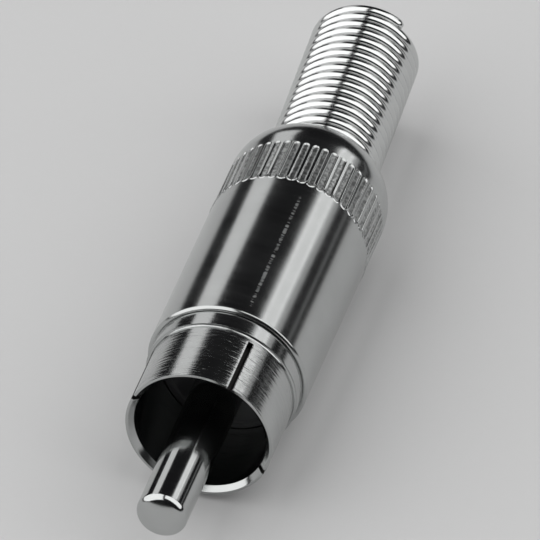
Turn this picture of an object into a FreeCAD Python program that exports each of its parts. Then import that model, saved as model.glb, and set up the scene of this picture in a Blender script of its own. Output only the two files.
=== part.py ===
"""Phono plug with a slotted ground sleeve, a knurled screw-on barrel and a cable spring.

The plug lies along Y. Its origin is the centre of the sleeve's mouth, the pin points to -Y,
the cable leaves to +Y, and +Z is up. Lengths are in millimetres and angles in degrees.
A station is a distance behind the mouth, and a clock angle is measured round the axis
from +Z towards +X.
"""
import FreeCAD, Part
import math
import os
from FreeCAD import Vector

# Centre pin: a turned rod whose thin tail is riveted over the signal tag
pin_radius = 1.585
pin_reach = 8.3
pin_crown_radius = 3.0
pin_corner_radius = 0.5
tail_radius = 0.9
rivet_radius = 1.35
rivet_height = 0.35

# Ground shell, front: four spring leaves parted by saw cuts
sleeve_bore_radius = 4.15
sleeve_wall = 0.46
sleeve_length = 4.79
mouth_lead_in = 0.30
slot_count = 4
slot_width = 0.33
slot_length = 4.4
slot_clock = 25.7

# Ground shell, middle: the collar that the barrel screws up to, with a sloping foot
collar_step = 0.17
collar_foot = 0.08
collar_length = 1.16

# Ground shell, rear: threaded stub at its crest radius, web and riveted seat of the tag
thread_step = 0.31
thread_length = 5.55
jack_depth = 7.0
web_thickness = 1.6
web_bush_wall = 1.0
recess_margin = 0.6
recess_wall = 0.4
lip_width = 0.18
lip_length = 0.2

# Insulators on the two sides of the web
front_disc_length = 1.2
rear_disc_length = 1.0
insulator_clearance = 0.02

# Solder tags, stamped from sheet
sheet = 0.4
signal_ring_radius = 1.9
signal_tail_width = 2.0
signal_tail_length = 5.6
solder_hole_radius = 0.55
tag_clearance = 0.07
ground_tail_width = 2.6
ground_tail_length = 4.6
ground_tail_inset = 0.3
tail_rounding_share = 0.4
clamp_radius = 2.8
clamp_length = 3.4
clamp_half_angle = 118.0

# Insulating tube inside the barrel
liner_wall = 0.23
liner_clearance = 0.14
liner_gap = 0.25
liner_to_coil = 0.75

# Barrel: a straight body and a shoulder that rounds in to the rim of the cable hole
barrel_wall = 0.71
barrel_end_gap = 0.05
barrel_chamfer = 0.14
barrel_bore_clearance = 0.04
barrel_body_length = 17.0
shoulder_length = 2.7
cable_hole_clearance = 0.24
rim_width = 0.08

# Flutes: a row of fine grooves pressed into the barrel, wider at their front ends
flute_count = 51
flute_clock = 23.7
flute_to_shoulder = 0.55
flute_length = 3.59
flute_front_width = 0.50
flute_rear_width = 0.42
flute_depth = 0.13
flute_wall_slope = 0.9
flute_front_sides = 3
flute_rear_sides = 2

# Cable spring: close-wound wire whose first turns are flared behind the barrel's hole
wire_radius = 0.35
coil_pitch = 0.73
coil_radius = 3.15
flare_clearance = 0.34
flare_turns = 1.2
coil_turns = 20.75
coil_hidden_length = 2.8
coil_end_clock = 45.0
coil_lean = 2.7
sections_per_turn = 12
wire_sides = 8
cone_behind_flare = 0.26

# Radii worked out from the walls and clearances
sleeve_radius = sleeve_bore_radius + sleeve_wall
collar_radius = sleeve_radius + collar_step
thread_crest_radius = sleeve_radius - thread_step
web_hole_radius = tail_radius + web_bush_wall
recess_radius = signal_ring_radius + recess_margin
seat_radius = recess_radius + recess_wall
lip_radius = seat_radius + lip_width
barrel_bore_radius = thread_crest_radius + barrel_bore_clearance
barrel_radius = barrel_bore_radius + barrel_wall
liner_radius = barrel_bore_radius - liner_clearance
liner_bore_radius = liner_radius - liner_wall
ground_ring_radius = liner_bore_radius - tag_clearance
ground_tail_depth = ground_ring_radius - ground_tail_inset
cable_hole_radius = coil_radius + wire_radius + cable_hole_clearance
rim_radius = cable_hole_radius + rim_width
flare_radius = barrel_bore_radius - flare_clearance - wire_radius

# Stations worked out from the lengths
collar_start = sleeve_length
thread_start = collar_start + collar_length
seat_start = thread_start + thread_length
lip_start = seat_start + sheet
shell_end = lip_start + lip_length
web_end = jack_depth + web_thickness
insulator_start = jack_depth - front_disc_length
signal_ring_start = web_end + rear_disc_length
rivet_start = signal_ring_start + sheet
barrel_start = thread_start + barrel_end_gap
barrel_shoulder = barrel_start + barrel_body_length
barrel_end = barrel_shoulder + shoulder_length
flute_start = barrel_shoulder - flute_to_shoulder - flute_length
coil_start = barrel_end - coil_hidden_length
liner_start = shell_end + liner_gap
liner_length = coil_start - liner_to_coil - liner_start

axis = Vector(0, 1, 0)
centre = Vector(0, 0, 0)
full_turn = 360.0
touching = 1e-6


def point(radius, station):
    """A point of a section, which is drawn in the plane of X and Y."""
    return Vector(radius, station, 0)


def turned(outline):
    """Turns a closed outline of (radius, station) corners about the plug's axis."""
    corners = [point(radius, station) for radius, station in outline]
    face = Part.Face(Part.makePolygon(corners + corners[:1]))
    return face.revolve(centre, axis, full_turn)


def tube(inner_radius, outer_radius, start, length):
    """A plain ring or tube round the axis."""
    end = start + length
    return turned([(inner_radius, start), (outer_radius, start), (outer_radius, end), (inner_radius, end)])


def turned_to_clock(shape, clock):
    """A copy of a shape, turned round the axis to a clock angle."""
    copy = shape.copy()
    copy.rotate(centre, axis, clock)
    return copy


def block(width, start, length, low, high):
    """A box centred on the axis in width, between two stations and two heights."""
    return Part.makeBox(width, length, high - low, Vector(-width / 2, start, low))


def save(name, shape):
    """Writes one piece under its own name."""
    shape.exportStep(f"parts/{name}.step")


def centre_pin():
    """The rod with a crowned tip and a rounded corner, its tail and its riveted head."""
    crown_centre = point(0, pin_crown_radius - pin_reach)
    corner_side = pin_radius - pin_corner_radius
    reach = pin_crown_radius - pin_corner_radius
    corner_centre = crown_centre + point(corner_side, -math.sqrt(reach ** 2 - corner_side ** 2))
    lean = math.atan2(corner_side, crown_centre.y - corner_centre.y)
    side_angle = (lean + math.pi / 2) / 2
    crown_middle = crown_centre + point(math.sin(lean / 2), -math.cos(lean / 2)) * pin_crown_radius
    crown_edge = crown_centre + point(math.sin(lean), -math.cos(lean)) * pin_crown_radius
    corner_middle = corner_centre + point(math.sin(side_angle), -math.cos(side_angle)) * pin_corner_radius
    corner_edge = point(pin_radius, corner_centre.y)
    tip = point(0, -pin_reach)
    crown = Part.Arc(tip, crown_middle, crown_edge).toShape()
    corner = Part.Arc(crown_edge, corner_middle, corner_edge).toShape()
    corners = [(pin_radius, insulator_start), (tail_radius, insulator_start), (tail_radius, rivet_start),
               (rivet_radius, rivet_start), (tail_radius, rivet_start + rivet_height),
               (0, rivet_start + rivet_height)]
    side = Part.makePolygon([corner_edge] + [point(*place) for place in corners] + [tip])
    return Part.Face(Part.Wire([crown, corner] + side.Edges)).revolve(centre, axis, full_turn)


def ground_shell():
    """The turned shell: mouth, leaves, collar, threaded stub, web and lip."""
    outside = [
        (sleeve_bore_radius + mouth_lead_in, 0), (sleeve_radius, 0),
        (sleeve_radius, collar_start - collar_foot), (sleeve_radius + collar_foot, collar_start),
        (collar_radius, collar_start), (collar_radius, thread_start), (thread_crest_radius, thread_start),
        (thread_crest_radius, seat_start), (seat_radius, seat_start), (seat_radius, lip_start),
        (lip_radius, lip_start), (lip_radius, shell_end)]
    inside = [
        (recess_radius, shell_end), (recess_radius, web_end), (web_hole_radius, web_end),
        (web_hole_radius, jack_depth), (sleeve_bore_radius, jack_depth),
        (sleeve_bore_radius, mouth_lead_in)]
    saw = block(slot_width, -slot_width, slot_length + slot_width, web_hole_radius, collar_radius)
    step = full_turn / slot_count
    cuts = [turned_to_clock(saw, slot_clock + index * step) for index in range(slot_count)]
    return turned(outside + inside).cut(cuts)


def front_insulator():
    """The disc at the bottom of the jack space, with the boss that lines the web's hole."""
    disc_radius = sleeve_bore_radius - insulator_clearance
    boss_radius = web_hole_radius - insulator_clearance
    hole = tail_radius + insulator_clearance
    return turned([(hole, insulator_start), (disc_radius, insulator_start), (disc_radius, jack_depth),
                   (boss_radius, jack_depth), (boss_radius, web_end), (hole, web_end)])


def rear_insulator():
    """The washer between the web and the signal tag."""
    hole = tail_radius + insulator_clearance
    return tube(hole, recess_radius - insulator_clearance, web_end, rear_disc_length)


def signal_tag():
    """The ring under the rivet and the tail that it bends into, with a solder hole."""
    tail_end = signal_ring_start + signal_tail_length
    ring = tube(tail_radius + insulator_clearance, signal_ring_radius, signal_ring_start, sheet)
    tail = block(signal_tail_width, signal_ring_start, signal_tail_length,
                 signal_ring_radius - sheet, signal_ring_radius)
    tail = rounded_end(tail, signal_tail_width, tail_end)
    hole = Part.makeCylinder(solder_hole_radius, signal_ring_radius,
                             Vector(0, tail_end - signal_tail_width / 2, 0), Vector(0, 0, 1))
    return ring.fuse(tail).removeSplitter().cut(hole)


def rounded_end(tail, width, end):
    """A tag's tail with the two upright edges of its rear end rounded."""
    edges = [edge for edge in tail.Edges
             if edge.BoundBox.YMin > end - touching and edge.BoundBox.XLength < touching]
    return tail.makeFillet(width * tail_rounding_share, edges)


def ground_tag():
    """The ring riveted to the shell, its tail, and the open clamp that closes on the cable."""
    ring = tube(seat_radius + insulator_clearance, ground_ring_radius, seat_start, sheet)
    clamp_start = seat_start + ground_tail_length
    tail = block(ground_tail_width, seat_start, ground_tail_length + sheet,
                 -ground_tail_depth, -ground_tail_depth + sheet)
    middle = Vector(0, clamp_start, clamp_radius - ground_tail_depth)
    half = math.radians(clamp_half_angle)
    outer = clamp_arc(middle, clamp_radius, half)
    inner = clamp_arc(middle, clamp_radius - sheet, half)
    ends = [Part.makeLine(outer.Vertexes[index].Point, inner.Vertexes[index].Point) for index in (0, 1)]
    clamp = Part.Face(Part.Wire(Part.__sortEdges__([outer, inner] + ends))).extrude(axis * clamp_length)
    return ring.fuse([tail, clamp]).removeSplitter()


def clamp_arc(middle, radius, half):
    """An arc under the cable, open at the top, of the given half angle."""
    side = Vector(math.sin(half) * radius, 0, -math.cos(half) * radius)
    low = middle - Vector(0, 0, radius)
    return Part.Arc(middle + side, low, middle + Vector(-side.x, 0, side.z)).toShape()


def insulating_liner():
    """The thin tube that keeps the tags off the barrel."""
    return tube(liner_bore_radius, liner_radius, liner_start, liner_length)


def barrel_outline():
    """The barrel's section: thread bore, inner cone, cable hole and rounded shoulder."""
    cone_start = coil_start + flare_turns * coil_pitch + cone_behind_flare
    cone_end = cone_start + barrel_bore_radius - cable_hole_radius
    drop = barrel_radius - rim_radius
    shoulder_radius = (shoulder_length ** 2 + drop ** 2) / (2 * drop)
    half = math.asin(shoulder_length / shoulder_radius) / 2
    shoulder_centre = point(barrel_radius - shoulder_radius, barrel_shoulder)
    half_way = shoulder_centre + point(math.cos(half), math.sin(half)) * shoulder_radius
    rim = point(rim_radius, barrel_end)
    corners = [(cable_hole_radius, barrel_end), (cable_hole_radius, cone_end),
               (barrel_bore_radius, cone_start), (barrel_bore_radius, barrel_start),
               (barrel_radius - barrel_chamfer, barrel_start),
               (barrel_radius, barrel_start + barrel_chamfer), (barrel_radius, barrel_shoulder)]
    corners = [point(*place) for place in corners]
    shoulder = Part.Arc(corners[-1], half_way, rim).toShape()
    return Part.Wire(Part.makePolygon([rim] + corners).Edges + [shoulder])


def flute_outline(inset, height):
    """The plan of the flute at the top, drawn in by an inset: a round front end, a narrower rear one."""
    front = flute_front_width / 2
    rear = flute_rear_width / 2
    ends = [(flute_start + front, front - inset, math.pi, flute_front_sides),
            (flute_start + flute_length - rear, rear - inset, 0, flute_rear_sides)]
    corners = []
    for station, radius, first, sides in ends:
        for side in range(sides + 1):
            angle = first + math.pi * side / sides
            corners.append(Vector(radius * math.cos(angle), station + radius * math.sin(angle), height))
    return Part.makePolygon(corners + corners[:1])


def flute_cutter():
    """The cutter of the flute at the top, with sloping walls that run on above the surface."""
    floor = flute_outline(flute_wall_slope * flute_depth, barrel_radius - flute_depth)
    above = flute_outline(-flute_wall_slope * flute_depth, barrel_radius + flute_depth)
    return Part.makeLoft([floor, above], True, True)


def barrel():
    """The screw-on cover with its ring of flutes."""
    body = Part.Face(barrel_outline()).revolve(centre, axis, full_turn)
    step = full_turn / flute_count
    cutter = flute_cutter()
    cutters = [turned_to_clock(cutter, flute_clock + index * step) for index in range(flute_count)]
    return body.cut(cutters)


def mean_radius(turn):
    """The coil's mean radius: flared at first, then drawn in over one turn."""
    drawn_in = min(max(turn - flare_turns, 0), 1)
    return flare_radius + (coil_radius - flare_radius) * drawn_in


def wire_section(turn):
    """The wire's section at a turn of the coil: a many-sided outline as large as the round wire."""
    clock = math.radians(coil_end_clock) + 2 * math.pi * (turn - coil_turns)
    outward = Vector(math.sin(clock), 0, math.cos(clock))
    rise = coil_pitch / (2 * math.pi * mean_radius(turn))
    along = Vector(math.cos(clock), rise, -math.sin(clock)).normalize()
    upward = along.cross(outward)
    middle = outward * mean_radius(turn) + axis * (coil_start + coil_pitch * turn)
    angles = [2 * math.pi * side / wire_sides for side in range(wire_sides)]
    reach = wire_radius * math.sqrt(angles[1] / math.sin(angles[1]))
    corners = [middle + (outward * math.cos(angle) + upward * math.sin(angle)) * reach for angle in angles]
    return Part.makePolygon(corners + corners[:1])


def strain_spring():
    """The close-wound coil, leaning a little to -X about the middle of the cable hole."""
    count = round(coil_turns * sections_per_turn)
    sections = [wire_section(coil_turns * index / count) for index in range(count + 1)]
    coil = Part.makeLoft(sections, True, True)
    coil.rotate(axis * barrel_end, Vector(0, 0, 1), coil_lean)
    return coil


os.makedirs("parts", exist_ok=True)
save("centre_pin", centre_pin())
save("ground_shell", ground_shell())
save("front_insulator", front_insulator())
save("rear_insulator", rear_insulator())
save("signal_tag", signal_tag())
save("ground_tag", ground_tag())
save("insulating_liner", insulating_liner())
save("barrel", barrel())
save("strain_spring", strain_spring())
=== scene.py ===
"""Phono plug: plated turned pieces, a fluted barrel and a wire spring, in a small studio.

The plug lies along Y on a pale floor, with its pin towards -Y. Lengths are in metres. A station
is a distance behind the sleeve's mouth, and a clock angle runs round the axis from +Z towards +X.
"""
import math

import bmesh
import bpy
from bpy.props import FloatProperty, FloatVectorProperty, IntProperty, PointerProperty
from mathutils import Matrix, Vector


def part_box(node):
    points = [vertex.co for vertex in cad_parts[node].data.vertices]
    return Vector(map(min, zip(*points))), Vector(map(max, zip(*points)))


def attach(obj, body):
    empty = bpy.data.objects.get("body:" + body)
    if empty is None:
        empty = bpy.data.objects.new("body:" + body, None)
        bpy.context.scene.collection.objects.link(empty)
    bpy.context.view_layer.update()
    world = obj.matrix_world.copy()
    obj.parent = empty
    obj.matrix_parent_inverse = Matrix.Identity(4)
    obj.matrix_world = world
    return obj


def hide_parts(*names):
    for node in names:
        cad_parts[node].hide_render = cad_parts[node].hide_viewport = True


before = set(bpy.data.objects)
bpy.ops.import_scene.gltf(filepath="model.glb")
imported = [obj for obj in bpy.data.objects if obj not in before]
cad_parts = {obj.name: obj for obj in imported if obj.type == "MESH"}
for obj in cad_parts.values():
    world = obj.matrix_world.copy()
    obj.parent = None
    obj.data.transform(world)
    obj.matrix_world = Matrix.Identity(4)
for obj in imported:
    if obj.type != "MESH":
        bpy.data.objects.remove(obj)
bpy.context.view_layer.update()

bl_info = {
    "name": "Phono Plug",
    "version": (1, 0, 0),
    "blender": (4, 5, 0),
    "location": "View3D > Sidebar > Plug",
    "description": "Dresses a plated phono plug and lights it",
    "category": "Object",
}

MM = 0.001
_, SHELL_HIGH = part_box("ground_shell")
PIN_LOW, PIN_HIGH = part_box("centre_pin")
BARREL_LOW, BARREL_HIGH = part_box("barrel")
DISC_LOW, DISC_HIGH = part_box("front_insulator")
SMOOTH_ANGLE = math.radians(32)
WIDE_SMOOTH_ANGLE = math.radians(40)
EDGE_ANGLE = math.radians(28)
NEAR = 1e-7
LEAST_ROUGHNESS = 0.04


def length(name, description, millimetres):
    """A length that the user can change, given in millimetres."""
    return FloatProperty(name=name, description=description, default=millimetres * MM,
                         min=0.0, unit="LENGTH", precision=5)


def angle(name, description, degrees):
    """An angle that the user can change, given in degrees."""
    return FloatProperty(name=name, description=description, default=math.radians(degrees), unit="ROTATION")


def share(name, description, value):
    """A plain number from 0 to 1."""
    return FloatProperty(name=name, description=description, default=value, min=0.0, max=1.0)


def colour(name, description, value):
    """A surface colour."""
    return FloatVectorProperty(name=name, description=description, default=value, subtype="COLOR",
                               size=3, min=0.0, max=1.0)


class PlugShellSizes(bpy.types.PropertyGroup):
    """Sizes of the turned ground shell and of the pin."""

    sleeve: length("Sleeve", "Radius of the sleeve", 4.61)
    bore: length("Bore", "Radius inside the sleeve", 4.15)
    lead_in: length("Lead-in", "Chamfer inside the mouth", 0.30)
    rim_round: length("Edge rounding", "Rounding of the turned edges", 0.03)
    slot_length: length("Slot length", "Length of the saw cuts", 4.4)
    slot_clock: angle("Slot clock", "Clock angle of the first saw cut", 25.7)
    slot_count: IntProperty(name="Slots", description="Number of saw cuts", default=4, min=1, max=12)
    collar_start: length("Collar start", "Station of the collar's front face", 4.79)
    collar_foot: length("Collar foot", "Fillet between the sleeve and the collar", 0.09)
    collar_end: length("Collar end", "Station of the collar's rear face", 5.95)
    thread_root: length("Thread root", "Radius between the threads", 3.92)
    thread_crest: length("Thread crest", "Radius over the threads", 4.29)
    thread_pitch: length("Thread pitch", "Advance in one turn", 0.75)
    stub_end: length("Stub end", "Station where the thread ends", 11.5)
    seat_radius: length("Tag seat", "Radius of the seat of the ground tag", 2.9)
    lip_start: length("Lip start", "Station of the riveted lip", 11.9)
    recess: length("Recess", "Radius of the hollow behind the web", 2.5)
    web_start: length("Web start", "Station where the jack space ends", 7.0)
    web_end: length("Web end", "Station of the web's rear face", 8.6)
    web_hole: length("Web hole", "Radius of the hole in the web", 1.9)
    pin_crown: length("Pin crown", "Radius of curvature of the pin's tip", 3.0)
    pin_corner: length("Pin corner", "Rounding between the tip and the side", 0.5)
    tail: length("Pin tail", "Radius of the pin's tail", 0.9)
    rivet: length("Rivet head", "Radius of the riveted head", 1.35)
    rivet_height: length("Rivet height", "Height of the riveted head", 0.35)


class PlugBarrelSizes(bpy.types.PropertyGroup):
    """Sizes of the screw-on barrel and its flutes."""

    bore: length("Bore", "Radius inside the barrel", 4.34)
    hole: length("Cable hole", "Radius of the hole at the rear", 3.74)
    cone_end: length("Cone end", "Station where the inner cone meets the hole", 24.6)
    chamfer: length("Front chamfer", "Chamfer of the front edge", 0.14)
    shoulder: length("Shoulder", "Station where the shoulder begins", 23.0)
    rim: length("Rim", "Radius of the rim round the cable hole", 3.82)
    flute_count: IntProperty(name="Flutes", description="Number of flutes", default=51, min=3, max=120)
    flute_clock: angle("Flute clock", "Clock angle of one flute", 23.7)
    flute_start: length("Flute start", "Station of the flutes' front ends", 18.86)
    flute_length: length("Flute length", "Length of a flute", 3.59)
    flute_front: length("Flute front", "Width of a flute at its front end", 0.45)
    flute_rear: length("Flute rear", "Width of a flute at its rear end", 0.41)
    flute_depth: length("Flute depth", "Depth of a flute", 0.07)
    flute_wall: length("Flute wall", "Width of a flute's sloping wall", 0.09)
    lip_height: length("Lip height", "Height of the metal raised before a flute", 0.044)
    lip_width: length("Lip width", "Width of the raised metal", 0.06)


class PlugSpringSizes(bpy.types.PropertyGroup):
    """Sizes of the cable spring."""

    wire: length("Wire", "Radius of the wire", 0.35)
    pitch: length("Pitch", "Advance in one turn", 0.73)
    coil: length("Coil", "Mean radius of the coil", 3.15)
    flare: length("Flare", "Mean radius of the turns behind the hole", 3.65)
    flare_turns: FloatProperty(name="Flared turns", description="Turns before the coil draws in", default=1.2)
    turns: FloatProperty(name="Turns", description="Turns of the whole coil", default=20.75)
    start: length("Start", "Station of the first turn", 22.9)
    end_clock: angle("End clock", "Clock angle of the wire's rear end", 45.0)
    lean: angle("Lean", "Lean of the coil towards -X", 2.7)
    end_round: length("End rounding", "Rounding of the wire's cut end", 0.12)


class PlugFinish(bpy.types.PropertyGroup):
    """Colours and polish."""

    nickel: colour("Nickel", "Colour of the bright plate", (0.48, 0.49, 0.486))
    wire: colour("Wire", "Colour of the plated wire", (0.64, 0.65, 0.645))
    insulator: colour("Insulator", "Colour of the moulded discs", (0.018, 0.018, 0.02))
    liner: colour("Liner", "Colour of the insulating tube", (0.62, 0.6, 0.54))
    tinned: colour("Tinned tag", "Colour of the solder tags", (0.62, 0.6, 0.55))
    barrel_polish: share("Barrel roughness", "Roughness of the barrel", 0.17)
    shell_polish: share("Shell roughness", "Roughness of the shell", 0.15)
    pin_polish: share("Pin roughness", "Roughness of the pin", 0.12)
    wire_polish: share("Wire roughness", "Roughness of the wire", 0.14)


class PlugStudio(bpy.types.PropertyGroup):
    """Camera, floor and lamps."""

    azimuth: angle("Azimuth", "Direction of the camera round the plug", 16.5)
    elevation: angle("Elevation", "Height of the camera as an angle", 40.0)
    distance: length("Distance", "From the camera to the sleeve's mouth", 1054.0)
    aim_right: length("Aim right", "How far right of the mouth the camera points", 4.31)
    aim_up: length("Aim up", "How far above the mouth the camera points", 9.92)
    lens: FloatProperty(name="Lens", description="Focal length in millimetres", default=1166.7, max=5000.0)
    floor_colour: colour("Floor", "Colour of the floor", (0.58, 0.58, 0.58))
    dark: colour("Room", "Colour of the room behind the lamps", (0.012, 0.012, 0.013))


class Value:
    """A number socket of a material, with Python's arithmetic on it."""

    def __init__(self, graph, socket):
        self.graph = graph
        self.socket = socket

    def math(self, operation, *others):
        """One Math node with this value first."""
        return self.graph.math(operation, self, *others)

    def __add__(self, other):
        return self.math("ADD", other)

    def __sub__(self, other):
        return self.math("SUBTRACT", other)

    def __mul__(self, other):
        return self.math("MULTIPLY", other)

    def __pow__(self, other):
        return self.math("POWER", other)

    def __rsub__(self, other):
        return self.graph.math("SUBTRACT", other, self)

    __radd__ = __add__
    __rmul__ = __mul__


class Graph:
    """The node tree of one material."""

    def __init__(self, name):
        self.material = bpy.data.materials.new(name)
        self.material.use_nodes = True
        self.tree = self.material.node_tree
        self.shader = self.tree.nodes["Principled BSDF"]

    def node(self, kind, settings=None, out=0, **inputs):
        """A node with its settings made first, then its inputs as values or links; gives one output.

        An input is named after its socket, or i and its place in the list of sockets."""
        node = self.tree.nodes.new(kind)
        for name, setting in (settings or {}).items():
            setattr(node, name, setting)
        for name, value in inputs.items():
            self.feed(node.inputs[int(name[1:]) if name[1:].isdigit() else name], value)
        return Value(self, node.outputs[out])

    def feed(self, socket, value):
        """Links a value to a socket, or writes a plain number or colour into it."""
        if isinstance(value, Value):
            self.tree.links.new(value.socket, socket)
        else:
            socket.default_value = value

    def math(self, operation, *values):
        """A Math node over one to three numbers."""
        places = {f"i{index}": value for index, value in enumerate(values)}
        return self.node("ShaderNodeMath", {"operation": operation}, **places)

    def blend(self, amount, first, second):
        """A mix of two colours."""
        return self.node("ShaderNodeMix", {"data_type": "RGBA"}, out=2, i0=amount, i6=first, i7=second)

    def step(self, value, low, high):
        """A soft step from 0 at low to 1 at high."""
        return self.node("ShaderNodeMapRange", {"interpolation_type": "SMOOTHSTEP"},
                         i0=value, i1=low, i2=high, i3=0.0, i4=1.0)

    def noise(self, vector, scale=1.0, octaves=2.0):
        """Fractal noise, about 0.5 on average."""
        return self.node("ShaderNodeTexNoise", Vector=vector, Scale=scale, Detail=octaves)

    def bump(self, height, millimetres, strength=1.0, **inputs):
        """A bump of a height from 0 to 1 that stands for a depth in millimetres."""
        depth = millimetres * MM
        return self.node("ShaderNodeBump", Strength=strength, Distance=depth, Height=height, **inputs)

    def finish(self, **sockets):
        """Feeds the surface shader and gives the material."""
        for name, value in sockets.items():
            self.feed(self.shader.inputs[name.replace("_", " ")], value)
        return self.material


def rgba(rgb):
    """A colour with full alpha."""
    return (rgb[0], rgb[1], rgb[2], 1.0)


def scaled(rgb, factor):
    """A colour made lighter or darker."""
    return tuple(min(part * factor, 1.0) for part in rgb)


class PlugPlaces:
    """A point of a turned piece, and its x, z, station and radius in millimetres and its clock angle."""

    def __init__(self, graph):
        self.point = graph.node("ShaderNodeTexCoord", out="Object")
        split = graph.node("ShaderNodeSeparateXYZ", Vector=self.point).socket.node
        self.x, self.station, self.z = [Value(graph, output) * (1 / MM) for output in split.outputs]
        self.radius = (self.x ** 2.0 + self.z ** 2.0) ** 0.5
        self.clock = graph.math("ARCTAN2", self.x, self.z)


def turning_lines(graph, places, lines_per_mm):
    """Fine lines left by the lathe: they run round the axis and drift a little on their way."""
    drift = 0.30
    across = (places.station + places.radius) * lines_per_mm
    vector = graph.node("ShaderNodeCombineXYZ", X=places.x * drift, Y=across, Z=places.z * drift)
    return graph.noise(vector, octaves=3.0)


def plated(name, rgb, polish, lines_per_mm=5.5):
    """Bright plate: cloudy patches and turning lines vary its polish and colour."""
    unevenness = 0.08
    cloud_level, cloud_edge = 0.94, (0.35, 0.7)
    graph = Graph(name)
    places = PlugPlaces(graph)
    line = turning_lines(graph, places, lines_per_mm)
    cloud = graph.noise(places.point, scale=420.0, octaves=4.0)
    roughness = polish + (line - 0.5) * unevenness + (cloud - 0.5) * unevenness
    tone = graph.blend(graph.step(cloud, *cloud_edge), rgba(scaled(rgb, cloud_level)), rgba(rgb))
    return graph, places, roughness, tone, line


def metal(graph, tone, roughness, bump):
    """Finishes a metal, which stays short of a perfect mirror."""
    rough = roughness.math("MAXIMUM", LEAST_ROUGHNESS)
    return graph.finish(Base_Color=tone, Metallic=1.0, Roughness=rough, Normal=bump)


def plate_material(name, rgb, polish, line_depth):
    """The plain bright plate."""
    graph, _, roughness, tone, line = plated(name, rgb, polish)
    return metal(graph, tone, roughness, graph.bump(line, line_depth))


def shell_material(rgb, polish, sizes, half_slot):
    """The shell's plate with turning lines, deepest on the sleeve; the saw cuts' walls are dull, and painted
    near black as shade.
    """
    line_depth, collar_calm = 0.030, 0.7
    # Painted shade for the saw cuts' walls: a near-black colour; their dullness is real roughness.
    slot_shade_colour, sawn_dullness = (0.03, 0.029, 0.028), 0.35
    sleeve, slot_end = sizes.sleeve / MM, sizes.slot_length / MM
    collar_edge = (sleeve + 0.04, sleeve + 0.12)
    side_edge = (half_slot * 1.01, half_slot * 1.05)
    end_edge = (slot_end, slot_end + 0.03)
    graph, places, roughness, tone, line = plated("shell_plate", rgb, polish, lines_per_mm=6.5)
    collar = graph.step(places.radius, *collar_edge)
    bump = graph.bump(line * (1.0 - collar * collar_calm), line_depth)
    gap = math.tau / sizes.slot_count
    turn = (places.clock - (sizes.slot_clock - gap / 2)).math("FLOORED_MODULO", gap) - gap / 2
    beside = graph.step(turn.math("ABSOLUTE"), *side_edge)
    behind = graph.step(places.station, *end_edge)
    plate = beside.math("MAXIMUM", behind)
    # Painted shade: inside the narrow slots the walls take the near-black colour in place of the plate.
    tone = graph.blend(plate, rgba(slot_shade_colour), tone)
    return metal(graph, tone, roughness + (1.0 - plate) * sawn_dullness, bump)


def rub_marks(graph, places):
    """One line of fine rub marks along the barrel's body, which fades at both ends."""
    clock, half_width = math.radians(14.0), 0.036
    marks_across, marks_along = 1.2 * BARREL_HIGH.x / MM, 6.5
    mark_edge = (0.40, 0.64)
    front_fade, rear_fade = (6.0, 7.5), (17.0, 18.0)
    line = 1.0 - graph.step((places.clock - clock).math("ABSOLUTE"), 0.0, half_width)
    vector = graph.node("ShaderNodeCombineXYZ", X=places.clock * marks_across, Y=places.station * marks_along)
    marks = graph.step(graph.noise(vector), *mark_edge)
    fade = graph.step(places.station, *front_fade) * (1.0 - graph.step(places.station, *rear_fade))
    return line * marks * fade


def barrel_material(rgb, polish, sizes):
    """The barrel's plate, with grained and mottled flutes and one line of rub marks along the body."""
    line_depth, grain_depth = 0.003, 0.022
    floor_dullness, rub_dullness = 0.17, 0.30
    mottle_amount, mottle_level, mottle_edge = 0.8, 0.35, (0.44, 0.56)
    outside, depth = BARREL_HIGH.x / MM, sizes.flute_depth / MM
    front, rear = sizes.flute_start / MM, (sizes.flute_start + sizes.flute_length) / MM
    skin_edge = (outside - 0.9 * depth, outside - 0.4 * depth)
    front_edge, rear_edge = (front - 0.16, front + 0.04), (rear - 0.15, rear + 0.05)
    graph, places, roughness, tone, line = plated("barrel_plate", rgb, polish)
    skin = graph.step(places.radius, *skin_edge)
    past_front = graph.step(places.station, *front_edge)
    past_rear = graph.step(places.station, *rear_edge)
    floor = (1.0 - skin) * past_front * (1.0 - past_rear)
    grain = graph.noise(places.point, scale=4600.0, octaves=3.0)
    rub = rub_marks(graph, places) * skin
    bump = graph.bump(grain * floor, grain_depth, Normal=graph.bump(line, line_depth))
    mottled = floor * graph.step(grain, *mottle_edge) * mottle_amount
    tone = graph.blend(mottled, tone, rgba(scaled(rgb, mottle_level)))
    return metal(graph, tone, roughness + floor * floor_dullness + rub * rub_dullness, bump)


def moulded_material(name, rgb, roughness):
    """Moulded plastic with a fine grain and a faint change of tone."""
    dark_level, light_level = 0.8, 1.2
    unevenness, grain_depth = 0.2, 0.01
    graph = Graph(name)
    places = PlugPlaces(graph)
    grain = graph.noise(places.point, scale=5000.0, octaves=3.0)
    cloud = graph.noise(places.point, scale=300.0, octaves=3.0)
    tone = graph.blend(cloud, rgba(scaled(rgb, dark_level)), rgba(scaled(rgb, light_level)))
    bump = graph.bump(grain, grain_depth, strength=0.6)
    return graph.finish(Base_Color=tone, Roughness=roughness + (grain - 0.5) * unevenness, Normal=bump)


def tinned_material(rgb):
    """Tinned brass sheet: satin, with cloudy dull patches."""
    satin, dullness = 0.28, 0.22
    dull_level, dull_edge = 0.86, (0.4, 0.65)
    cloud_depth = 0.004
    graph = Graph("tinned_sheet")
    places = PlugPlaces(graph)
    cloud = graph.noise(places.point, scale=900.0, octaves=4.0)
    tone = graph.blend(graph.step(cloud, *dull_edge), rgba(scaled(rgb, dull_level)), rgba(rgb))
    return metal(graph, tone, satin + cloud * dullness, graph.bump(cloud, cloud_depth, strength=0.5))


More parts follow.
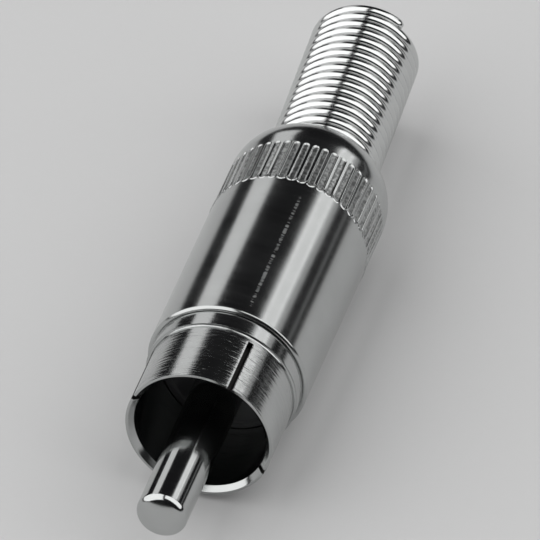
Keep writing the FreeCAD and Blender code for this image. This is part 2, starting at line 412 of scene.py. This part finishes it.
def floor_material(rgb):
    """A matt paper floor with a faint fibre."""
    fibre_level = 0.985
    graph = Graph("paper_floor")
    point = graph.node("ShaderNodeTexCoord", out="Object")
    fibre = graph.noise(point, scale=2500.0, octaves=3.0)
    tone = graph.blend(fibre, rgba(scaled(rgb, fibre_level)), rgba(rgb))
    return graph.finish(Base_Color=tone, Roughness=0.9, Specular_IOR_Level=0.1)


def deselect():
    """Leaves object mode with nothing selected."""
    if bpy.context.object and bpy.context.object.mode != "OBJECT":
        bpy.ops.object.mode_set(mode="OBJECT")
    bpy.ops.object.select_all(action="DESELECT")


def select_vertices(piece, wanted):
    """In edit mode, selects the vertices whose place passes a test."""
    bpy.ops.mesh.select_all(action="DESELECT")
    mesh = bmesh.from_edit_mesh(piece.data)
    for vertex in mesh.verts:
        vertex.select = wanted(vertex.co)
    mesh.select_flush(True)
    bmesh.update_edit_mesh(piece.data)


def cap(piece, radius, station):
    """Closes the ring at a radius and a station with a fan of faces."""
    def on_ring(place):
        return abs(place.y - station) < NEAR and abs(math.hypot(place.x, place.z) - radius) < NEAR

    select_vertices(piece, on_ring)
    bpy.ops.mesh.extrude_region_move(TRANSFORM_OT_translate={"value": (0, 0, 0)})
    bpy.ops.mesh.merge(type="CENTER")


def supported(outline, reach, closed):
    """An outline with two more places near the ends of each long side, which hold its shading true."""
    places = []
    for index, place in enumerate(outline):
        places.append(place)
        following = outline[(index + 1) % len(outline)]
        span = math.dist(place, following)
        if span > 3 * reach and (closed or index + 1 < len(outline)):
            for part in (reach / span, 1 - reach / span):
                places.append(tuple(a + (b - a) * part for a, b in zip(place, following)))
    return places


def lathe(name, outline, columns, clock=0.0, closed=True, support=0.08 * MM):
    """Turns an outline of (radius, station) places: a ring is drawn out and resized from place to place."""
    deselect()
    outline = supported(outline, support, closed)
    radius, station = outline[0]
    bpy.ops.mesh.primitive_circle_add(vertices=columns, radius=radius, location=(0, station, 0),
                                      rotation=(math.pi / 2, clock, 0))
    piece = bpy.context.object
    piece.name = name
    piece.data.name = name
    bpy.ops.object.transform_apply(location=True, rotation=True, scale=True)
    bpy.ops.object.mode_set(mode="EDIT")
    bpy.ops.mesh.select_all(action="SELECT")
    for next_radius, next_station in outline[1:] + (outline[:1] if closed else []):
        bpy.ops.mesh.extrude_region_move(TRANSFORM_OT_translate={"value": (0, next_station - station, 0)})
        ratio = next_radius / radius
        bpy.ops.transform.resize(value=(ratio, 1, ratio), center_override=(0, next_station, 0))
        radius, station = next_radius, next_station
    if not closed:
        cap(piece, *outline[0])
        cap(piece, *outline[-1])
    bpy.ops.mesh.select_all(action="SELECT")
    bpy.ops.mesh.remove_doubles(threshold=NEAR)
    bpy.ops.mesh.normals_make_consistent(inside=False)
    bpy.ops.object.mode_set(mode="OBJECT")
    return piece


def modify(piece, kind, **settings):
    """Adds a modifier with its settings and applies it."""
    deselect()
    piece.select_set(True)
    bpy.context.view_layer.objects.active = piece
    modifier = piece.modifiers.new(kind.lower(), kind)
    for name, value in settings.items():
        setattr(modifier, name, value)
    bpy.ops.object.modifier_apply(modifier=modifier.name)


def round_edges(piece, width, segments=3):
    """Rounds the sharp edges of a piece."""
    modify(piece, "BEVEL", width=width, segments=segments, limit_method="ANGLE",
           angle_limit=EDGE_ANGLE, use_clamp_overlap=True)


def smooth(piece, limit=SMOOTH_ANGLE):
    """Shades a piece smooth up to an angle, with the large faces kept true."""
    deselect()
    piece.select_set(True)
    bpy.context.view_layer.objects.active = piece
    bpy.ops.object.shade_smooth_by_angle(angle=limit)
    modify(piece, "WEIGHTED_NORMAL", keep_sharp=True, weight=80)


def dress(piece, body, node, material):
    """Puts the finish on a new piece and sets it in the frame in place of its node."""
    piece.data.materials.clear()
    piece.data.materials.append(material)
    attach(piece, body)
    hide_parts(node)


def arc(middle_radius, middle_station, radius, first, last, steps):
    """Places along an arc; its angles are measured from the -Y side towards the outside."""
    places = []
    for index in range(steps + 1):
        turn = first + (last - first) * index / steps
        places.append((middle_radius + radius * math.sin(turn), middle_station - radius * math.cos(turn)))
    return places


class PLUG_OT_ground_shell(bpy.types.Operator):
    """Turns the ground shell, opens its four slots and cuts its thread"""

    bl_idname = "plug.ground_shell"
    bl_label = "Ground Shell"

    columns = 176
    lip_wall = 0.18 * MM
    ridge_foot = 0.31 * MM
    ridge_crest = 0.07 * MM
    ridge_sunk = 0.03 * MM
    ridge_steps = 64
    thread_runout = 0.5

    def execute(self, context):
        sizes = context.scene.plug_shell
        collar, shell_end = SHELL_HIGH.x, SHELL_HIGH.y
        lip = sizes.seat_radius + self.lip_wall
        foot = arc(sizes.sleeve + sizes.collar_foot, sizes.collar_start - sizes.collar_foot,
                   sizes.collar_foot, -math.pi / 2, -math.pi, steps=5)
        outline = [
            (sizes.bore + sizes.lead_in, 0), (sizes.sleeve, 0), (sizes.sleeve, sizes.slot_length)] + foot + [
            (collar, sizes.collar_start), (collar, sizes.collar_end),
            (sizes.thread_root, sizes.collar_end), (sizes.thread_root, sizes.stub_end),
            (sizes.seat_radius, sizes.stub_end), (sizes.seat_radius, sizes.lip_start), (lip, sizes.lip_start),
            (lip, shell_end), (sizes.recess, shell_end), (sizes.recess, sizes.web_end),
            (sizes.web_hole, sizes.web_end), (sizes.web_hole, sizes.web_start), (sizes.bore, sizes.web_start),
            (sizes.bore, sizes.slot_length), (sizes.bore, sizes.lead_in)]
        piece = lathe("ground_shell_turned", outline, self.columns, clock=sizes.slot_clock)
        for index in range(sizes.slot_count):
            self.open_slot(piece, sizes, sizes.slot_clock + index * math.tau / sizes.slot_count)
        round_edges(piece, sizes.rim_round)
        smooth(piece)
        self.cut_thread(piece, sizes)
        finish = context.scene.plug_finish
        material = shell_material(finish.nickel, finish.shell_polish, sizes, math.tau / self.columns)
        dress(piece, "front", "ground_shell", material)
        return {"FINISHED"}

    def open_slot(self, piece, sizes, clock):
        """Takes out two columns of the sleeve's wall and closes the two sides and the end of the slot."""
        column = math.tau / self.columns
        side_reach = 0.1

        def offset(place):
            """How many columns a place lies past the middle of the slot."""
            return math.remainder(math.atan2(place.x, place.z) - clock, math.tau) / column

        def in_wall(place):
            """Whether a place is in the wall of the sleeve, up to the slots' ends."""
            return place.y < sizes.slot_length + NEAR and math.hypot(place.x, place.z) > sizes.bore - NEAR

        bpy.ops.object.mode_set(mode="EDIT")
        bpy.ops.mesh.select_mode(type="FACE")
        bpy.ops.mesh.select_all(action="DESELECT")
        mesh = bmesh.from_edit_mesh(piece.data)
        for face in mesh.faces:
            middle = face.calc_center_median()
            face.select = abs(offset(middle)) < 1 and in_wall(middle)
        mesh.select_flush_mode()
        bmesh.update_edit_mesh(piece.data)
        bpy.ops.mesh.delete(type="FACE")
        bpy.ops.mesh.select_mode(type="VERT")
        for side in (-1, 1):
            select_vertices(piece, lambda place: abs(offset(place) - side) < side_reach and in_wall(place))
            bpy.ops.mesh.edge_face_add()
        select_vertices(piece, lambda place: abs(offset(place)) < 1 + side_reach and in_wall(place)
                        and place.y > sizes.slot_length - NEAR)
        bpy.ops.mesh.edge_face_add()
        bpy.ops.mesh.select_all(action="SELECT")
        bpy.ops.mesh.normals_make_consistent(inside=False)
        bpy.ops.object.mode_set(mode="OBJECT")

    def cut_thread(self, piece, sizes):
        """Winds the thread's ridge round the stub and joins it to the shell."""
        deselect()
        foot, crest = self.ridge_foot, self.ridge_crest
        root = sizes.thread_root - self.ridge_sunk
        start = sizes.collar_end + sizes.thread_pitch
        turns = (sizes.stub_end - start) / sizes.thread_pitch - self.thread_runout
        steps = round(self.ridge_steps * turns)
        bpy.ops.mesh.primitive_plane_add(size=1, location=(0, 0, 0))
        ridge = bpy.context.object
        ridge.name = "thread_ridge"
        corners = [(root, -foot), (sizes.thread_crest, -crest), (sizes.thread_crest, crest), (root, foot)]
        order = sorted(ridge.data.vertices, key=lambda vertex: math.atan2(vertex.co.y, vertex.co.x))
        for vertex, (radius, offset) in zip(order, corners):
            vertex.co = (radius, start + offset, 0)
        modify(ridge, "SCREW", axis="Y", angle=turns * math.tau, screw_offset=turns * sizes.thread_pitch,
               steps=steps, render_steps=steps, use_merge_vertices=True, merge_threshold=NEAR / 10,
               use_normal_calculate=True)
        bpy.ops.object.mode_set(mode="EDIT")
        bpy.ops.mesh.select_all(action="SELECT")
        bpy.ops.mesh.normals_make_consistent(inside=False)
        bpy.ops.object.mode_set(mode="OBJECT")
        bpy.ops.object.shade_smooth_by_angle(angle=SMOOTH_ANGLE)
        deselect()
        ridge.select_set(True)
        piece.select_set(True)
        bpy.context.view_layer.objects.active = piece
        bpy.ops.object.join()


class PLUG_OT_centre_pin(bpy.types.Operator):
    """Turns the centre pin with its crowned tip and riveted tail"""

    bl_idname = "plug.centre_pin"
    bl_label = "Centre Pin"

    columns = 128
    arc_steps = 10
    capped_part = 1 / 24
    rivet_side_part = 1 / 3

    def execute(self, context):
        sizes = context.scene.plug_shell
        radius = PIN_HIGH.x
        crown_middle = PIN_LOW.y + sizes.pin_crown
        corner_side = radius - sizes.pin_corner
        reach = sizes.pin_crown - sizes.pin_corner
        corner_middle = crown_middle - math.sqrt(reach ** 2 - corner_side ** 2)
        lean = math.asin(corner_side / reach)
        first = lean * self.capped_part
        tip = arc(0, crown_middle, sizes.pin_crown, first, lean, self.arc_steps)
        corner = arc(corner_side, corner_middle, sizes.pin_corner, lean, math.pi / 2, self.arc_steps)
        rivet_end = PIN_HIGH.y
        rivet_start = rivet_end - sizes.rivet_height
        rivet_side_end = rivet_start + sizes.rivet_height * self.rivet_side_part
        outline = tip + corner[1:] + [
            (radius, 0), (radius, DISC_LOW.y), (sizes.tail, DISC_LOW.y), (sizes.tail, rivet_start),
            (sizes.rivet, rivet_start), (sizes.rivet, rivet_side_end), (sizes.tail, rivet_end)]
        piece = lathe("centre_pin_turned", outline, self.columns, closed=False)
        round_edges(piece, sizes.rim_round)
        smooth(piece)
        finish = context.scene.plug_finish
        material = plate_material("pin_plate", finish.nickel, finish.pin_polish, line_depth=0.001)
        dress(piece, "front", "centre_pin", material)
        return {"FINISHED"}


class PLUG_OT_front_insulator(bpy.types.Operator):
    """Moulds the disc at the bottom of the jack space, with a raised ring round the pin"""

    bl_idname = "plug.front_insulator"
    bl_label = "Front Insulator"

    columns = 128
    clearance = 0.02 * MM
    ring = 2.2 * MM
    rim = 0.4 * MM
    dish = 0.1 * MM
    edge = 0.04 * MM

    def execute(self, context):
        sizes = context.scene.plug_shell
        hole = sizes.tail + self.clearance
        boss = sizes.web_hole - self.clearance
        side, front, bottom = DISC_HIGH.x, DISC_LOW.y, DISC_LOW.y + self.dish
        outline = [
            (hole, front), (self.ring, front), (self.ring + self.dish, bottom),
            (side - self.rim - self.dish, bottom), (side - self.rim, front), (side, front),
            (side, sizes.web_start), (boss, sizes.web_start), (boss, DISC_HIGH.y), (hole, DISC_HIGH.y)]
        piece = lathe("front_insulator_moulded", outline, self.columns)
        round_edges(piece, self.edge)
        smooth(piece)
        material = moulded_material("moulded_black", context.scene.plug_finish.insulator, roughness=0.45)
        dress(piece, "front", "front_insulator", material)
        return {"FINISHED"}


class PLUG_OT_barrel(bpy.types.Operator):
    """Turns the barrel and presses its ring of flutes"""

    bl_idname = "plug.barrel"
    bl_label = "Barrel"

    columns_per_flute = 18
    fine_row = 0.04 * MM
    coarse_row = 0.23 * MM
    end_zone = 0.45 * MM
    margin = 0.17 * MM
    shoulder_steps = 16
    edge = 0.035 * MM
    wall = 0.2 * MM
    rear_lip = 0.12
    lip_place, lip_spread = 0.7, 0.6

    def execute(self, context):
        sizes = context.scene.plug_barrel
        outer, front, rear = BARREL_HIGH.x, BARREL_LOW.y, BARREL_HIGH.y
        flute_end = sizes.flute_start + sizes.flute_length
        fine_end, fine_start = sizes.flute_start + self.end_zone, flute_end - self.end_zone
        band = [(outer, station) for station in
                self.rows(sizes.flute_start - self.margin, fine_end, self.fine_row)
                + self.rows(fine_end, fine_start, self.coarse_row)
                + self.rows(fine_start, flute_end + self.margin, self.fine_row)]
        drop, reach = outer - sizes.rim, rear - sizes.shoulder
        curve = (reach ** 2 + drop ** 2) / (2 * drop)
        shoulder = arc(outer - curve, sizes.shoulder, curve, math.pi / 2,
                       math.pi / 2 + math.asin(reach / curve), self.shoulder_steps)
        outline = [
            (sizes.hole, rear), (sizes.hole, sizes.cone_end),
            (sizes.bore, sizes.cone_end - (sizes.bore - sizes.hole)), (sizes.bore, front),
            (outer - sizes.chamfer, front), (outer, front + sizes.chamfer)] + band + shoulder
        columns = sizes.flute_count * self.columns_per_flute
        piece = lathe("barrel_turned", outline, columns, clock=sizes.flute_clock)
        round_edges(piece, self.edge, segments=2)
        self.press_flutes(piece, sizes)
        smooth(piece, WIDE_SMOOTH_ANGLE)
        finish = context.scene.plug_finish
        material = barrel_material(finish.nickel, finish.barrel_polish, sizes)
        dress(piece, "barrel", "barrel", material)
        return {"FINISHED"}

    def rows(self, first, last, step):
        """Stations of the rows of vertices from first up to last, without last."""
        count = math.ceil((last - first) / step)
        return [first + (last - first) * index / count for index in range(count)]

    def outside(self, place, sizes):
        """How far a place on the skin lies outside the nearest flute; negative inside it."""
        step = math.tau / sizes.flute_count
        turn = math.atan2(place.x, place.z) - sizes.flute_clock
        across = abs((turn + step / 2) % step - step / 2) * BARREL_HIGH.x
        front, rear = sizes.flute_front / 2, sizes.flute_rear / 2
        first = sizes.flute_start + front
        last = sizes.flute_start + sizes.flute_length - rear
        if place.y < first:
            return math.hypot(across, place.y - first) - front
        if place.y > last:
            return math.hypot(across, place.y - last) - rear
        return across - front - (rear - front) * (place.y - first) / (last - first)

    def press_flutes(self, piece, sizes):
        """Weighs each vertex of the band by how far it is pressed in or raised, then moves the skin."""
        pressed = piece.vertex_groups.new(name="pressed")
        raised = piece.vertex_groups.new(name="raised")
        low = sizes.flute_start - self.margin + NEAR
        high = sizes.flute_start + sizes.flute_length + self.margin - self.fine_row / 2
        lip_middle, lip_spread = sizes.lip_width * self.lip_place, sizes.lip_width * self.lip_spread
        for vertex in piece.data.vertices:
            place = vertex.co
            if not low < place.y < high or math.hypot(place.x, place.z) < sizes.bore + self.wall:
                continue
            outside = self.outside(place, sizes)
            depth = min(max(-outside / sizes.flute_wall, 0.0), 1.0)
            ridge = math.exp(-((outside - lip_middle) / lip_spread) ** 2)
            at_front = 1.0 - min(max((place.y - sizes.flute_start) / sizes.flute_front, 0.0), 1.0)
            pressed.add([vertex.index], depth * depth * (3 - 2 * depth), "REPLACE")
            raised.add([vertex.index], ridge * (self.rear_lip + (1 - self.rear_lip) * at_front), "REPLACE")
        modify(piece, "DISPLACE", strength=-sizes.flute_depth, mid_level=0.0, vertex_group="pressed")
        modify(piece, "DISPLACE", strength=sizes.lip_height, mid_level=0.0, vertex_group="raised")
        piece.vertex_groups.clear()


class PLUG_OT_cable_spring(bpy.types.Operator):
    """Winds the cable spring from round wire"""

    bl_idname = "plug.cable_spring"
    bl_label = "Cable Spring"

    steps_per_turn = 72
    round_steps = 6

    def execute(self, context):
        sizes = context.scene.plug_spring
        deselect()
        count = round(sizes.turns * self.steps_per_turn)
        curve = bpy.data.curves.new("strain_spring_wound", "CURVE")
        curve.dimensions = "3D"
        curve.bevel_depth = sizes.wire
        curve.bevel_resolution = self.round_steps
        curve.use_fill_caps = True
        spline = curve.splines.new("POLY")
        spline.points.add(count)
        turn_length = math.tau * sizes.coil
        for index, point in enumerate(spline.points):
            turn = sizes.turns * index / count
            point.co = (*self.place(turn, sizes), 1.0)
            left = min(turn, sizes.turns - turn) * turn_length
            cut = min(max(1.0 - left / sizes.end_round, 0.0), 1.0)
            point.radius = 1.0 - (1.0 - math.sqrt(1.0 - cut * cut)) * sizes.end_round / sizes.wire
        wound = bpy.data.objects.new("strain_spring_wound", curve)
        context.collection.objects.link(wound)
        wound.select_set(True)
        context.view_layer.objects.active = wound
        bpy.ops.object.convert(target="MESH")
        piece = context.object
        bpy.ops.object.mode_set(mode="EDIT")
        bpy.ops.mesh.select_all(action="SELECT")
        bpy.ops.mesh.remove_doubles(threshold=NEAR)
        bpy.ops.mesh.normals_make_consistent(inside=False)
        bpy.ops.object.mode_set(mode="OBJECT")
        bpy.ops.object.shade_smooth_by_angle(angle=WIDE_SMOOTH_ANGLE)
        finish = context.scene.plug_finish
        material = plate_material("wire_plate", finish.wire, finish.wire_polish, line_depth=0.0)
        dress(piece, "spring", "strain_spring", material)
        return {"FINISHED"}

    def place(self, turn, sizes):
        """The wire's middle at a turn of the coil, which leans about the barrel's rear end."""
        drawn_in = min(max(turn - sizes.flare_turns, 0.0), 1.0)
        radius = sizes.flare + (sizes.coil - sizes.flare) * drawn_in
        clock = sizes.end_clock + math.tau * (turn - sizes.turns)
        station = sizes.start + sizes.pitch * turn
        upright = Vector((radius * math.sin(clock), station, radius * math.cos(clock)))
        pivot = Vector((0, BARREL_HIGH.y, 0))
        return pivot + Matrix.Rotation(sizes.lean, 3, "Z") @ (upright - pivot)


class PLUG_OT_inner_pieces(bpy.types.Operator):
    """Finishes the pieces that stay inside: tags, washer and insulating tube"""

    bl_idname = "plug.inner_pieces"
    bl_label = "Inner Pieces"

    def execute(self, context):
        finish = context.scene.plug_finish
        tinned = tinned_material(finish.tinned)
        washer = moulded_material("moulded_washer", finish.insulator, roughness=0.45)
        tube = moulded_material("extruded_tube", finish.liner, roughness=0.4)
        for node, material in (("signal_tag", tinned), ("ground_tag", tinned),
                               ("rear_insulator", washer), ("insulating_liner", tube)):
            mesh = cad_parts[node].data
            mesh.materials.clear()
            mesh.materials.append(material)
        return {"FINISHED"}


class PLUG_OT_studio(bpy.types.Operator):
    """Sets up the floor, the lamps and the camera"""

    bl_idname = "plug.studio"
    bl_label = "Studio"

    floor_size = 2.4
    lamp_distance = 0.45

    def execute(self, context):
        studio = context.scene.plug_studio
        self.lay_floor(studio)
        self.darken_room(context, studio)
        self.panel("left_panel", clocks=(-84, -5), polars=(60, 145), brightness=1.65)
        self.panel("right_panel", clocks=(3, 78), polars=(60, 116), brightness=1.65)
        self.strip("left_strip", clock=-49, polar=43, across=26, along=32, roll=22, brightness=0.94)
        self.strip("right_strip", clock=40, polar=46, across=17, along=28, roll=-24, brightness=1.18)
        self.strip("right_edge", clock=29, polar=46, across=6, along=28, roll=-24, brightness=0.72)
        self.strip("right_fringe", clock=54, polar=46, across=12, along=28, roll=-18, brightness=0.50)
        self.strip("thin_strip", clock=79, polar=45, across=3, along=30, roll=0, brightness=0.3)
        self.place_camera(context, studio)
        context.scene.view_settings.view_transform = "Standard"
        return {"FINISHED"}

    def lay_floor(self, studio):
        """A flat floor at the barrel's lowest line."""
        deselect()
        bpy.ops.mesh.primitive_plane_add(size=self.floor_size, location=(0, 0, 0))
        floor = bpy.context.object
        floor.name = "floor"
        bpy.ops.object.mode_set(mode="EDIT")
        bpy.ops.mesh.select_all(action="SELECT")
        bpy.ops.mesh.subdivide(number_cuts=3)
        bpy.ops.transform.translate(value=(0, 0, BARREL_LOW.z))
        bpy.ops.object.mode_set(mode="OBJECT")
        floor.data.materials.append(floor_material(studio.floor_colour))

    def darken_room(self, context, studio):
        """The plain dark room round the lamps."""
        world = bpy.data.worlds.new("room")
        world.use_nodes = True
        world.node_tree.nodes["Background"].inputs["Color"].default_value = rgba(studio.dark)
        context.scene.world = world

    def lamp(self, name, wide, long, brightness):
        """A soft lamp of a size; its brightness is what a perfect mirror would show."""
        lamp = bpy.data.lights.new(name, "AREA")
        lamp.shape = "RECTANGLE"
        lamp.size = wide
        lamp.size_y = long
        lamp.energy = brightness * math.pi * wide * long
        holder = bpy.data.objects.new(name, lamp)
        bpy.context.collection.objects.link(holder)
        return holder

    def panel(self, name, clocks, polars, brightness):
        """A lamp along the plug, set by its range of clock angles and of angles from +Y."""
        first, last = (math.radians(clock) for clock in clocks)
        rear, front = (self.lamp_distance / math.tan(math.radians(polar)) for polar in polars)
        middle = (first + last) / 2
        wide = 2 * self.lamp_distance * math.tan((last - first) / 2)
        holder = self.lamp(name, wide, rear - front, brightness)
        holder.rotation_euler = (0, middle, 0)
        holder.location = (self.lamp_distance * math.sin(middle), (rear + front) / 2,
                           self.lamp_distance * math.cos(middle))

    def strip(self, name, clock, polar, across, along, roll, brightness):
        """A lamp placed by its clock angle and its angle from +Y, with its size and roll as angles too."""
        turn, tilt = math.radians(clock), math.radians(polar)
        round_axis = Vector((math.sin(turn), 0, math.cos(turn)))
        direction = Vector((0, math.cos(tilt), 0)) + round_axis * math.sin(tilt)
        meridian = round_axis * math.cos(tilt) - Vector((0, math.sin(tilt), 0))
        sideways = meridian.cross(direction)
        wide = 2 * self.lamp_distance * math.tan(math.radians(across) * math.sin(tilt) / 2)
        high = 2 * self.lamp_distance * math.tan(math.radians(along) / 2)
        holder = self.lamp(name, wide, high, brightness)
        upright = Matrix((sideways, meridian, direction)).transposed().to_4x4()
        rolled = upright @ Matrix.Rotation(math.radians(roll), 4, "Z")
        holder.matrix_world = Matrix.Translation(direction * self.lamp_distance) @ rolled

    def place_camera(self, context, studio):
        """The camera at the photograph's angle, with the mouth at its place in the picture."""
        azimuth, elevation = studio.azimuth, studio.elevation
        right = Vector((math.cos(azimuth), math.sin(azimuth), 0))
        level = Vector((math.sin(azimuth), -math.cos(azimuth), 0))
        back = level * math.cos(elevation) + Vector((0, 0, math.sin(elevation)))
        up = back.cross(right)
        camera = bpy.data.cameras.new("camera")
        camera.lens = studio.lens
        camera.sensor_width = 36.0
        camera.clip_start = 0.05
        camera.clip_end = 10.0
        holder = bpy.data.objects.new("camera", camera)
        holder.matrix_world = Matrix((right, up, back)).transposed().to_4x4()
        holder.location = back * studio.distance + right * studio.aim_right + up * studio.aim_up
        context.collection.objects.link(holder)
        context.scene.camera = holder


PIECES = (PLUG_OT_ground_shell, PLUG_OT_centre_pin, PLUG_OT_front_insulator, PLUG_OT_barrel,
          PLUG_OT_cable_spring, PLUG_OT_inner_pieces, PLUG_OT_studio)


class PLUG_PT_sidebar(bpy.types.Panel):
    """Lists the pieces of the plug"""

    bl_idname = "PLUG_PT_sidebar"
    bl_label = "Phono Plug"
    bl_space_type = "VIEW_3D"
    bl_region_type = "UI"
    bl_category = "Plug"

    def draw(self, context):
        for piece in PIECES:
            self.layout.operator(piece.bl_idname)
        for name, _ in GROUPS:
            group = getattr(context.scene, name)
            box = self.layout.box()
            for field in group.__annotations__:
                box.prop(group, field)


GROUPS = (("plug_shell", PlugShellSizes), ("plug_barrel", PlugBarrelSizes), ("plug_spring", PlugSpringSizes),
          ("plug_finish", PlugFinish), ("plug_studio", PlugStudio))


def register():
    """Registers the groups, the operators and the panel."""
    for name, group in GROUPS:
        bpy.utils.register_class(group)
        setattr(bpy.types.Scene, name, PointerProperty(type=group))
    for cls in PIECES + (PLUG_PT_sidebar,):
        bpy.utils.register_class(cls)


def unregister():
    """Takes them out again."""
    for cls in (PLUG_PT_sidebar,) + PIECES[::-1]:
        bpy.utils.unregister_class(cls)
    for name, group in GROUPS[::-1]:
        delattr(bpy.types.Scene, name)
        bpy.utils.unregister_class(group)


def main():
    """Makes every piece and the studio."""
    register()
    bpy.ops.plug.ground_shell()
    bpy.ops.plug.centre_pin()
    bpy.ops.plug.front_insulator()
    bpy.ops.plug.barrel()
    bpy.ops.plug.cable_spring()
    bpy.ops.plug.inner_pieces()
    bpy.ops.plug.studio()


if __name__ == "__main__":
    main()
